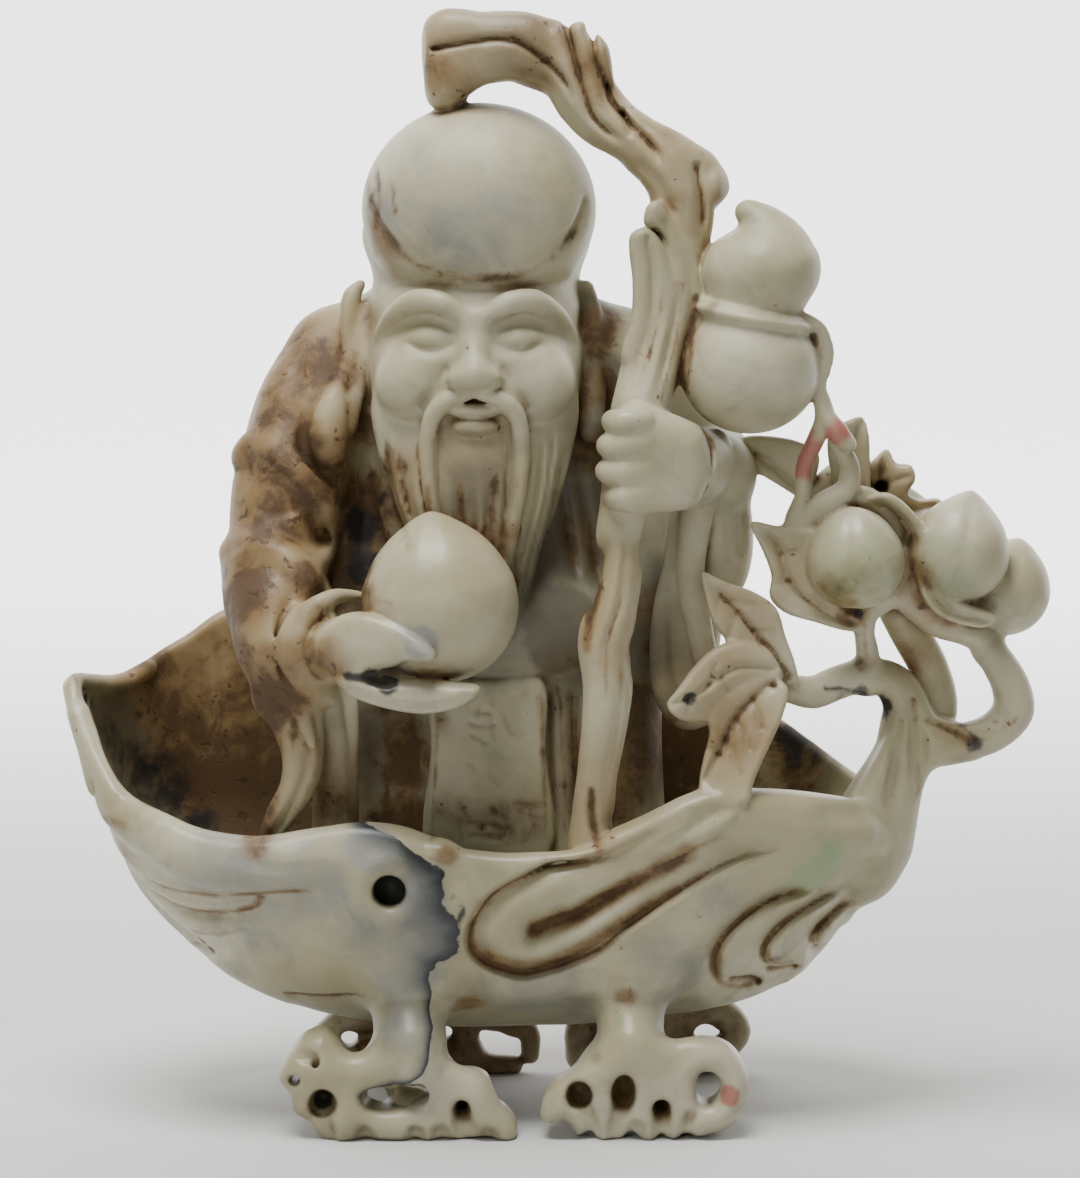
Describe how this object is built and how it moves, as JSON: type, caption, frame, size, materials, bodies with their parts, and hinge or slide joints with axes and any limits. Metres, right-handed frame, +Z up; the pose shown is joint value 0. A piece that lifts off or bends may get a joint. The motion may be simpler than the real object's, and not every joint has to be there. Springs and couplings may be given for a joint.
{
  "type": "stone figure",
  "caption": "Stone carving of a domed-headed old sage with peach, staff and gourd, standing in a log boat with a fruiting peach branch, on pierced feet.",
  "frame": {"origin": "centre of the bounding box at the level of the soles", "axes": "+X towards the bow, -Y the way the sage faces, +Z up"},
  "size_m": [0.1864, 0.0782, 0.2078],
  "materials": {
    "stone": "polished mottled hardstone, off-white with grey-green and brown areas"
  },
  "bodies": {
    "root": {"shou_lao_carving": "stone"}
  },
  "joints": []
}
